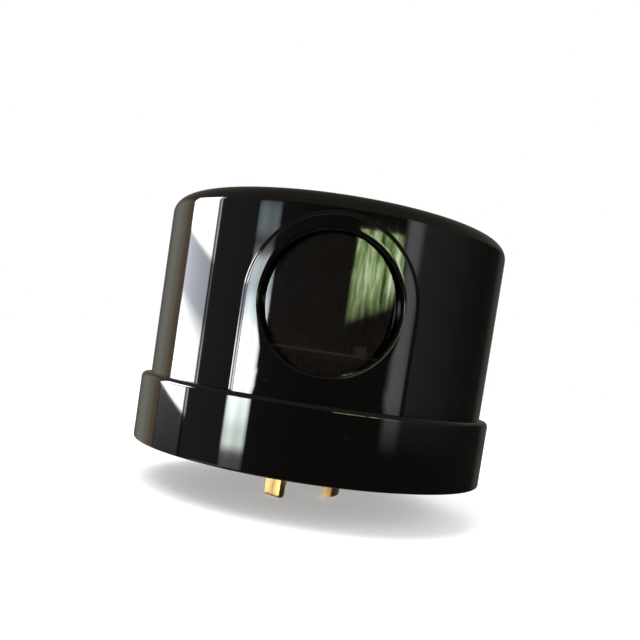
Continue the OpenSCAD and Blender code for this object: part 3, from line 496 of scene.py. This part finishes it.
# Cap, in millimetres and counts
cap = {
    # skirt, with rings beside its fillets that keep the reflections on its wall straight
    "skirtR": 42, "skirtZ": 0.6, "skirtH": 15.3, "skirtEdgeR": 1.2, "skirtFootR": 0.35, "skirtInR": 39.6,
    "skirtInEdge": 0.25, "shoulderZ": 9.9, "ledgeIn": 1.1, "ringGap": 0.08,
    # body and roof
    "bodyR": 39.9, "bodyInR": 37.7, "sideZ": 53.1, "roofEdgeR": 3.3, "roofZ": 57.1, "roofRise": 0.7,
    "roofEdgeEnd": 88, "innerEdgeR": 2.2, "innerRingR": 18,
    # gate's mark: radius and height, then the insets and heights of its rounded side
    "gateR": 1.3, "gateH": 0.25, "gateInsets": (0.02, 0.05, 0.12), "gateFoot": 0.05, "gateEdge": 0.06,
    # arched boss; its step is flat for a share at each side
    "windowZ": 35.15, "bossHalf": 16.95, "bossEdge": 1.6, "faceR": 41.3, "stepFlat": 0.18, "footZ": 15.3,
    # opening and the lens's pocket
    "openingR": 14, "openingEdgeR": 0.4, "pocketR": 39.7, "rimR": 15.75, "innerHalf": 17.1,
    # counts of columns, rows and loops
    "columns": 288, "legRows": 14, "archRows": 48, "footPoints": 36, "roofEdgeRows": 18, "roofRows": 14,
    "innerRows": 8, "stepLoops": 22, "faceLoops": 4, "openingLoops": 8,
    # posts
    "postR": 3.2, "postReach": 34.7, "postTurn": 75.5, "postLow": 9.25, "postTop": 18.4, "postEdgeR": 0.4,
    "postColumns": 48, "boreR": 1.55, "boreTop": 18.1, "middleR": 0.01,
}
ledgeZ = cap["skirtZ"] + cap["skirtH"]


def rowsOfSide(half, footZ):
    # heights of the rows up to the arch's top, with the arch's half width at each
    rows = []
    for i in range(cap["legRows"]):
        rows.append((footZ + (cap["windowZ"] - footZ) * i / cap["legRows"], half))
    for i in range(cap["archRows"] + 1):
        turn = pi / 2 * i / cap["archRows"]
        rows.append((cap["windowZ"] + half * sin(turn), half * cos(turn)))
    return rows


def archLoop(half, footZ, radiusAt):
    # right side up, left side down, then along the foot from left to right
    rows = rowsOfSide(half, footZ)
    loop = [(x, z) for z, x in rows] + [(-x, z) for z, x in rows[-2::-1]]
    for i in range(1, cap["footPoints"] + 1):
        loop.append((-half + 2 * half * i / (cap["footPoints"] + 1), footZ))
    return [onDrum(x, z, radiusAt(z)) for x, z in loop]


def towardsCircle(half, footZ, circleR, share, radiusAt):
    # a loop between the arch and a circle round the window's centre; the arch's own depth isn't used
    points = []
    for x, y, z in archLoop(half, footZ, sideRadius):
        dx, dz = x, z - cap["windowZ"]
        reach = sqrt(dx * dx + dz * dz)
        goal = (reach + (circleR - reach) * share) / reach
        points.append(onDrum(dx * goal, cap["windowZ"] + dz * goal, radiusAt(cap["windowZ"] + dz * goal)))
    return points


def sideRadius(z):
    if z <= cap["sideZ"]:
        return cap["bodyR"]
    rise = z - cap["sideZ"]
    return cap["bodyR"] - cap["roofEdgeR"] + sqrt(cap["roofEdgeR"] ** 2 - rise * rise)


def makeSide(maker, half, footZ, radiusAt, upperRows, flip):
    # the drum's wall round the arch, and the rows above it
    # returns the arch's loop, the foot's ring, the points of the foot under the arch and the highest row
    rows = []
    for z, x in rowsOfSide(half, footZ):
        radius = radiusAt(z)
        edge = asin(min(1, x / radius))
        angles = [edge + (2 * pi - 2 * edge) * j / cap["columns"] for j in range(cap["columns"] + 1)]
        if x < 1e-9:
            row = maker.add([turned(radius, a, z) for a in angles[:-1]])
            row.append(row[0])
        else:
            row = maker.add([turned(radius, a, z) for a in angles])
        rows.append(row)
    archRows = len(rows)
    for radius, z in upperRows:
        row = maker.add([turned(radius, 2 * pi * j / cap["columns"], z) for j in range(cap["columns"])])
        rows.append(row + [row[0]])
    for low, high in zip(rows, rows[1:]):
        maker.skin(low, high, flip=flip)
    loop = [r[0] for r in rows[:archRows]] + [r[-1] for r in rows[archRows - 2::-1]]
    footPoints = [onDrum(-half + 2 * half * i / (cap["footPoints"] + 1), footZ, radiusAt(footZ))
                  for i in range(1, cap["footPoints"] + 1)]
    return loop, rows[0], footPoints, rows[-1][:-1]


def outerRows(half, gateTop):
    # rows above the arch: the roof's edge, its low dome and the gate's mark
    flatR, edgeR, gateR = cap["bodyR"] - cap["roofEdgeR"], cap["roofEdgeR"], cap["gateR"]
    first = asin((cap["windowZ"] + half - cap["sideZ"]) / edgeR)
    rows = []
    for i in range(1, cap["roofEdgeRows"] + 1):
        turn = first + (radians(cap["roofEdgeEnd"]) - first) * i / cap["roofEdgeRows"]
        rows.append((flatR + edgeR * cos(turn), cap["sideZ"] + edgeR * sin(turn)))
    domeR = (flatR ** 2 + cap["roofRise"] ** 2) / (2 * cap["roofRise"])
    for i in range(1, cap["roofRows"] + 1):
        radius = flatR + (gateR - flatR) * i / cap["roofRows"]
        rows.append((radius, cap["roofZ"] - radius * radius / (2 * domeR)))
    heights = (cap["roofZ"] + cap["gateFoot"], gateTop - cap["gateEdge"], gateTop)
    return rows + [(gateR - inset, z) for inset, z in zip(cap["gateInsets"], heights)]


def innerRows():
    flatR, edgeR = cap["bodyInR"] - cap["innerEdgeR"], cap["innerEdgeR"]
    rows = [(cap["bodyInR"], cap["sideZ"])]
    for i in range(1, cap["innerRows"] + 1):
        turn = pi / 2 * i / cap["innerRows"]
        rows.append((flatR + edgeR * cos(turn), cap["sideZ"] + edgeR * sin(turn)))
    return rows + [(cap["innerRingR"], cap["sideZ"] + edgeR)]


def bossLoops(maker, outerHalf):
    # loops from the boss's foot over its rounded step and face, round the opening's edge and into the pocket
    footZ, faceR, edgeR = cap["footZ"], cap["faceR"], cap["openingEdgeR"]
    steps, flat = cap["stepLoops"], cap["stepFlat"]
    faceHalf = outerHalf - cap["bossEdge"]
    loops = []

    def addLoop(circleR, share, radius):
        loops.append(maker.add(towardsCircle(faceHalf, footZ, circleR, share, lambda z: radius)))

    for k in range(1, steps + 1):
        along = min(1, max(0, (k / steps - flat) / (1 - 2 * flat)))
        share = (1 - cos(pi * along)) / 2
        loops.append(maker.add(archLoop(outerHalf - cap["bossEdge"] * k / steps, footZ,
                                        lambda z: sideRadius(z) + (faceR - sideRadius(z)) * share)))
    for k in range(1, cap["faceLoops"] + 1):
        addLoop(cap["openingR"] + edgeR, k / cap["faceLoops"], faceR)
    for k in range(1, cap["openingLoops"] + 1):
        turn = pi / 2 * k / cap["openingLoops"]
        addLoop(cap["openingR"] + edgeR * (1 - sin(turn)), 1, faceR - edgeR * (1 - cos(turn)))
    addLoop(cap["openingR"], 1, cap["pocketR"])
    addLoop(cap["rimR"], 1, cap["pocketR"])
    addLoop(cap["rimR"], 1, cap["bodyInR"])
    return loops


def addBody(maker):
    gateTop, innerTop = cap["roofZ"] + cap["gateH"], cap["sideZ"] + cap["innerEdgeR"]
    outerHalf = cap["bossHalf"] + cap["bossEdge"] / 2
    loop, ring, footPoints, top = makeSide(maker, outerHalf, cap["footZ"], sideRadius,
                                           outerRows(outerHalf, gateTop), False)
    maker.fan(top, maker.add([(0, 0, gateTop)])[0])
    foot = maker.add(footPoints)
    loops = [loop + foot] + bossLoops(maker, outerHalf)
    inLoop, inRing, inFootPoints, inTop = makeSide(maker, cap["innerHalf"], cap["footZ"],
                                                   lambda z: cap["bodyInR"], innerRows(), True)
    maker.fan(inTop, maker.add([(0, 0, innerTop)])[0], flip=True)
    inFoot = maker.add(inFootPoints)
    loops.append(inLoop + inFoot)
    for outer, inner in zip(loops, loops[1:]):
        maker.skin(outer, inner, closed=True, flip=True)
    # the foot, hidden in the skirt, closes the wall
    maker.skin(ring + foot, inRing + inFoot, closed=True)


def addSkirt(maker):
    edgeR, footR, gap = cap["skirtEdgeR"], cap["skirtFootR"], cap["ringGap"]
    wall, inWall = cap["skirtR"], cap["bodyInR"] + cap["ledgeIn"]
    profile = [(cap["skirtInR"], cap["shoulderZ"]), (cap["skirtInR"], cap["skirtZ"] + footR),
               (cap["skirtInR"] + cap["skirtInEdge"], cap["skirtZ"])]
    profile += arc(wall - footR, cap["skirtZ"] + footR, footR, -pi / 2, 0, 5)
    profile += [(wall, cap["skirtZ"] + footR + gap), (wall, ledgeZ - edgeR - gap)]
    profile += arc(wall - edgeR, ledgeZ - edgeR, edgeR, 0, pi / 2, 12)
    profile += [(wall - edgeR - gap, ledgeZ), (inWall, ledgeZ), (inWall, cap["footZ"]),
                (cap["bodyInR"], cap["footZ"]), (cap["bodyInR"], cap["shoulderZ"])]
    maker.revolve(profile, cap["columns"])


def addPosts(maker):
    # three posts for the case screws, bored from below
    edgeR = cap["postEdgeR"]
    for i in range(3):
        turn = radians(cap["postTurn"] + 120 * i)
        at = (cap["postReach"] * sin(turn), -cap["postReach"] * cos(turn))
        profile = [(cap["middleR"], cap["boreTop"]), (cap["boreR"], cap["boreTop"]),
                   (cap["boreR"], cap["postLow"]), (cap["postR"], cap["postLow"])]
        profile += arc(cap["postR"] - edgeR, cap["postTop"] - edgeR, edgeR, 0, pi / 2, 4)
        profile.append((cap["middleR"], cap["postTop"]))
        maker.revolve(profile, cap["postColumns"], closed=False, centre=at)


maker = MeshMaker()
addBody(maker)
addSkirt(maker)
addPosts(maker)
capShell = maker.build("cap_shell")
dress(capShell, "cap_plastic")
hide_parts("cap")
print("cap made:", len(capShell.data.polygons), "faces")


# Lens, a piece of a drum with a round rim and softened edges, in millimetres and counts
lens = {"outR": 39.2, "inR": 37.6, "rimR": 15.6, "edge": 0.2, "rings": 26, "columns": 144}


def makeLens():
    maker = MeshMaker()

    def ringAt(reach, radius):
        turns = [2 * pi * j / lens["columns"] for j in range(lens["columns"])]
        return maker.add([onDrum(reach * cos(t), cap["windowZ"] + reach * sin(t), radius) for t in turns])

    rows = []
    flat = lens["rimR"] - lens["edge"]
    for i in range(1, lens["rings"] + 1):
        rows.append(ringAt(flat * i / lens["rings"], lens["outR"]))
    rows.append(ringAt(lens["rimR"], lens["outR"] - lens["edge"]))
    rows.append(ringAt(lens["rimR"], lens["inR"] + lens["edge"]))
    for i in range(lens["rings"], 0, -1):
        rows.append(ringAt(flat * i / lens["rings"], lens["inR"]))
    front = maker.add([(0, -lens["outR"], cap["windowZ"])])[0]
    back = maker.add([(0, -lens["inR"], cap["windowZ"])])[0]
    maker.fan(rows[0], front)
    for outer, inner in zip(rows, rows[1:]):
        maker.skin(outer, inner, closed=True)
    maker.fan(rows[-1], back, flip=True)
    return maker.build("smoked_window")


lensPiece = makeLens()
dress(lensPiece, "smoked_lens")
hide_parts("window_lens")
print("lens made:", len(lensPiece.data.polygons), "faces")


# Lights and surroundings, in metres; turns in degrees from the window's side, towards +X
def glowMaterial(name):
    material = bpy.data.materials.new(name)
    material.use_nodes = True
    w = Wiring(material.node_tree)
    w.nodes.clear()
    glow = w.node("Emission")
    out = w.node("OutputMaterial", {"Surface": glow.outputs[0]})
    return material, w, glow


def ramp(w, value, stops):
    # stops: (place, brightness or colour)
    made = w.node("ValToRGB", {0: value})
    elements = made.color_ramp.elements
    while len(elements) < len(stops):
        elements.new(0.5)
    for element, (at, tone) in zip(elements, stops):
        element.position = at
    for element, (at, tone) in zip(elements, stops):
        element.color = (*tone, 1) if isinstance(tone, tuple) else (tone, tone, tone, 1)
    return made.outputs[0]


def glossOnly(obj):
    # a light box or a flag for the gloss: it lights and shades nothing by itself
    obj.visible_camera = False
    obj.visible_diffuse = False
    obj.visible_transmission = False
    obj.visible_shadow = False


def seenDirectly(w):
    # 1 for rays from the camera, out of the gloss or through a clear piece
    path = w.node("LightPath")
    seen = w.math("MAXIMUM", path.outputs["Is Camera Ray"], path.outputs["Is Glossy Ray"])
    return w.math("MAXIMUM", seen, path.outputs["Is Transmission Ray"])


def times(w, first, second):
    return w.node("Mix", {0: 1.0, 6: first, 7: second}, data_type="RGBA", blend_type="MULTIPLY").outputs[2]


def lightBox(name, v):
    # an upright panel round the axis between two turns; its UV map runs across and up
    mesh = bpy.data.meshes.new(name)
    count = 12
    turns = [radians(v["from"] + (v["to"] - v["from"]) * i / count) for i in range(count + 1)]
    points = [turned(v["reach"], t, z) for z in (v["low"], v["high"]) for t in turns]
    faces = [(i, i + 1, i + count + 2, i + count + 1) for i in range(count)]
    mesh.from_pydata(points, [], faces)
    uv = mesh.uv_layers.new(name="UVMap")
    for loop in mesh.loops:
        column, row = loop.vertex_index % (count + 1), loop.vertex_index // (count + 1)
        uv.data[loop.index].uv = (column / count, row)
    obj = bpy.data.objects.new(name, mesh)
    scene.collection.objects.link(obj)
    material, w, glow = glowMaterial(name)
    mesh.materials.append(material)
    glossOnly(obj)
    glow.inputs["Strength"].default_value = v["strength"]
    place = w.node("SeparateXYZ", {0: w.node("TexCoord").outputs["UV"]})
    return w, glow, place.outputs["X"], place.outputs["Y"]


plainBoxes = {
    # levels up the panel times levels across it; slope tilts the first down to the right
    "leftBox": {
        # bright, with a foot and a dim band that slope
        "from": -111.3, "to": -81.8, "reach": 0.7, "low": -0.21, "high": 0.32, "strength": 20, "slope": 0.068,
        "up": [(0.0, 0.008), (0.2, 0.012), (0.352, 0.03), (0.36, 0.9), (0.4, 1.0), (0.51, 0.85),
               (0.565, (0.27, 0.28, 0.32)), (0.683, (0.25, 0.26, 0.29)), (0.7, 1.0), (1.0, 1.0)],
        "across": [(0.0, (0.05, 0.04, 0.03)), (0.04, 1.0), (0.885, 1.0), (0.91, 0.05), (0.945, 0.04),
                   (0.955, 0.3), (0.985, 0.3), (1.0, 0.02)],
    },
    "stripBox": {
        # narrow and cool, strong at the middle and faint near both ends
        "from": -53.5, "to": -37.2, "reach": 0.7, "low": -0.16, "high": 0.24, "strength": 32, "slope": 0.0,
        "up": [(0.0, 0.03), (0.155, 0.05), (0.174, 0.09), (0.188, (0.28, 0.32, 0.29)),
               (0.202, (0.5, 0.56, 0.5)), (0.24, (0.48, 0.56, 0.52)), (0.285, (0.72, 0.8, 0.76)),
               (0.34, (0.85, 0.92, 0.9)), (0.378, 1.0),
               (0.535, (0.95, 0.97, 0.95)), (0.56, (0.72, 0.78, 0.8)), (0.615, (0.5, 0.56, 0.6)),
               (0.645, (0.33, 0.38, 0.4)), (0.72, (0.38, 0.43, 0.44)), (0.745, (0.11, 0.12, 0.12)),
               (0.775, 0.035), (0.812, (0.09, 0.105, 0.11)), (0.868, (0.08, 0.1, 0.105)), (0.905, 0.03),
               (0.99, 0.015)],
        "across": [(0.0, 0.02), (0.1, 0.75), (0.32, 1.0), (0.58, 0.75), (0.82, 0.85), (0.93, 0.5),
                   (1.0, 0.0)],
    },
    "bladeBox": {
        # low and warm, for the blades' faces
        "from": -73, "to": -50, "reach": 0.62, "low": -0.22, "high": -0.106, "strength": 2.4, "slope": 0.0,
        "up": [(0.0, (0.8, 0.7, 0.55)), (1.0, (1.0, 0.95, 0.85))],
        "across": [(0.0, 1.0), (1.0, 1.0)],
    },
}


def makePlainBox(name, v):
    w, glow, across, up = lightBox(name, v)
    level = ramp(w, w.math("ADD", up, w.math("MULTIPLY", across, v["slope"])), v["up"])
    w.feed(glow.inputs["Color"], times(w, level, ramp(w, across, v["across"])))


# soft uneven green, as daylight through leaves
greenBox = {
    "from": 10.0, "to": 41.0, "reach": 0.7, "low": 0.07, "high": 0.18, "strength": 16, "slope": -0.25,
    "leaves": 26.0,
    "tones": [(0.32, (0.05, 0.07, 0.03)), (0.48, (0.27, 0.4, 0.15)), (0.62, (0.62, 0.8, 0.42)),
              (0.7, (1.0, 1.0, 0.9))],
    "up": [(0.0, 0.0), (0.1, 0.5), (0.3, 1.0), (1.0, 1.0)],
    "across": [(0.0, 0.0), (0.08, 0.8), (0.9, 1.0), (1.0, 0.0)],
}


def makeGreenBox():
    w, glow, across, up = lightBox("greenBox", greenBox)
    patches = w.node("TexNoise", {"Vector": w.node("TexCoord").outputs["Object"], "Scale": greenBox["leaves"],
                                  "Detail": 5.0})
    tone = ramp(w, patches.outputs["Fac"], greenBox["tones"])
    ends = ramp(w, w.math("ADD", up, w.math("MULTIPLY", across, greenBox["slope"])), greenBox["up"])
    w.feed(glow.inputs["Color"], times(w, tone, times(w, ramp(w, across, greenBox["across"]), ends)))


tent = {
    # walls by turn, then the tone above and the tone of the low right, a sector by shares of the whole turn
    "reach": 0.9, "low": -0.35, "high": 0.7, "columns": 48, "strength": 2,
    "walls": [(-180, (0.05, 0.05, 0.042)), (-150, (0.085, 0.085, 0.075)), (-132, (0.31, 0.3, 0.26)),
              (-121, (0.34, 0.3, 0.23)), (-118, (0.3, 0.22, 0.15)), (-112.5, (0.27, 0.2, 0.13)), (-111, 0.07),
              (-78, 0.09), (-56, 0.08), (-30, 0.025), (0, 0.006), (40, 0.006), (44, (0.85, 0.85, 0.92)),
              (50, (0.75, 0.75, 0.82)), (54, 0.14), (76, 0.08), (96, 0.03), (112, 0.012), (130, 0.012),
              (140, (0.05, 0.048, 0.04)), (152, (0.055, 0.055, 0.045)), (180, (0.05, 0.05, 0.042))],
    "roof": (0.1, 0.09, 0.07), "roofFrom": 0.26, "roofTo": 0.42,
    "lowRight": (0.012, 0.01, 0.008), "lowFrom": -0.01, "lowTo": -0.09, "lowStart": (0.53, 0.56),
    "lowEnd": (0.87, 0.85),
}


def makeTent():
    # dark walls round the set, lighter behind the cap; only the gloss sees them
    maker = MeshMaker()
    reach, low, high = tent["reach"] / mm, tent["low"] / mm, tent["high"] / mm
    maker.revolve([(1, low), (reach, low), (reach, high), (1, high)], tent["columns"], closed=False)
    walls = maker.build("flags", closedSolid=False)
    material, w, glow = glowMaterial("flags")
    walls.data.materials.append(material)
    glossOnly(walls)
    spot = w.node("SeparateXYZ", {0: w.node("TexCoord").outputs["Object"]})
    # turn from the window's side: 0.5 in front, 0 and 1 behind
    angle = w.math("ARCTAN2", spot.outputs["X"], w.math("MULTIPLY", spot.outputs["Y"], -1.0))
    around = w.math("ADD", w.math("DIVIDE", angle, 2 * pi), 0.5)
    tone = ramp(w, around, [(turn / 360 + 0.5, shade) for turn, shade in tent["walls"]])
    above = w.node("MapRange", {"Value": spot.outputs["Z"], "From Min": tent["roofFrom"],
                                "From Max": tent["roofTo"]}, interpolation_type="SMOOTHSTEP")
    withRoof = w.node("Mix", {0: above.outputs["Result"], 6: tone, 7: tent["roof"]}, data_type="RGBA")
    sector = w.math("MULTIPLY", w.fit(around, *tent["lowStart"]), w.fit(around, *tent["lowEnd"]))
    below = w.math("MULTIPLY", w.fit(spot.outputs["Z"], tent["lowFrom"], tent["lowTo"]), sector)
    mix = w.node("Mix", {0: below, 6: withRoof.outputs[2], 7: tent["lowRight"]}, data_type="RGBA")
    w.feed(glow.inputs["Color"], mix.outputs[2])
    glow.inputs["Strength"].default_value = tent["strength"]


# brightness of the white that is seen, and of the light that it gives
sky = {"seen": 1.0, "light": 0.75}


def makeWorld():
    world = bpy.data.worlds.new("studio")
    scene.world = world
    world.use_nodes = True
    w = Wiring(world.node_tree)
    w.nodes.clear()
    plain = w.node("Background", {"Color": (1, 1, 1), "Strength": sky["light"]})
    white = w.node("Background", {"Color": (1, 1, 1), "Strength": sky["seen"]})
    mix = w.node("MixShader", {0: seenDirectly(w), 1: plain.outputs[0], 2: white.outputs[0]})
    w.node("OutputWorld", {"Surface": mix.outputs[0]})


# half of its side, its colour, and how much brighter it is seen than lit
ground = {"half": 4, "color": (0.93, 0.93, 0.93), "lift": 0.34}


def makeFloor():
    mesh = bpy.data.meshes.new("floor")
    half, floorZ = ground["half"], cadBox[0].z
    corners = [(-half, -half, floorZ), (half, -half, floorZ), (half, half, floorZ), (-half, half, floorZ)]
    mesh.from_pydata(corners, [], [(0, 1, 2, 3)])
    floor = bpy.data.objects.new("floor", mesh)
    scene.collection.objects.link(floor)
    material = bpy.data.materials.new("floor")
    material.use_nodes = True
    w = Wiring(material.node_tree)
    w.nodes.clear()
    matt = w.node("BsdfDiffuse", {"Color": ground["color"]})
    lift = w.node("Emission", {"Strength": w.math("MULTIPLY", seenDirectly(w), ground["lift"])})
    both = w.node("AddShader", {0: matt.outputs[0], 1: lift.outputs[0]})
    # clear from below, so that the underside can be looked at
    sides = w.node("MixShader", {0: w.node("NewGeometry").outputs["Backfacing"], 1: both.outputs[0],
                                 2: w.node("BsdfTransparent").outputs[0]})
    w.node("OutputMaterial", {"Surface": sides.outputs[0]})
    mesh.materials.append(material)
    floor.visible_glossy = False  # the low flags stand in for it in the gloss


lamps = {
    # power in watts
    "topLamp": {"place": (-0.3, -0.35, 0.8), "size": 0.6, "power": 5},
    "fillLamp": {"place": (0.6, -0.5, 0.4), "size": 0.5, "power": 2},
}


def makeLamp(name, v):
    data = bpy.data.lights.new(name, "AREA")
    data.shape = "SQUARE"
    data.size = v["size"]
    data.energy = v["power"]
    obj = bpy.data.objects.new(name, data)
    scene.collection.objects.link(obj)
    obj.location = v["place"]
    obj.rotation_mode = "QUATERNION"
    obj.rotation_quaternion = (-Vector(v["place"])).to_track_quat("-Z", "Y")
    obj.visible_camera = False
    obj.visible_glossy = False


makeWorld()
makeFloor()
makeTent()
for name, values in plainBoxes.items():
    makePlainBox(name, values)
makeGreenBox()
for name, values in lamps.items():
    makeLamp(name, values)
print("lights made:", len(lamps), "lamps and", len(plainBoxes) + 1, "panels")


# Camera: metres and degrees; focal length and centre in pixels of a square picture; sensor in millimetres
view = {"reach": 0.17464, "height": 0.02322, "turn": -0.5, "pitch": 2.857, "roll": 8.65, "focal": 706.1,
        "centreX": 314.6, "centreY": 400.0, "picture": 640, "sensor": 36}


def makeCamera():
    data = bpy.data.cameras.new("camera")
    data.sensor_width = view["sensor"]
    data.lens = view["focal"] * view["sensor"] / view["picture"]
    data.shift_x = 0.5 - view["centreX"] / view["picture"]
    data.shift_y = view["centreY"] / view["picture"] - 0.5
    data.clip_start, data.clip_end = 0.01, 20
    camera = bpy.data.objects.new("camera", data)
    scene.collection.objects.link(camera)
    turn, pitch, roll = radians(view["turn"]), radians(view["pitch"]), radians(view["roll"])
    place = Vector(turned(view["reach"], turn, view["height"]))
    look = Vector((-sin(turn) * cos(pitch), cos(turn) * cos(pitch), -sin(pitch)))
    right = look.cross(Vector((0, 0, 1))).normalized()
    up = right.cross(look)
    camUp = up * cos(roll) - right * sin(roll)
    camRight = right * cos(roll) + up * sin(roll)
    camera.matrix_world = Matrix.Translation(place) @ Matrix((
        (camRight.x, camUp.x, -look.x), (camRight.y, camUp.y, -look.y),
        (camRight.z, camUp.z, -look.z))).to_4x4()
    scene.camera = camera


makeCamera()
scene.view_settings.view_transform = "Standard"
print("camera set")
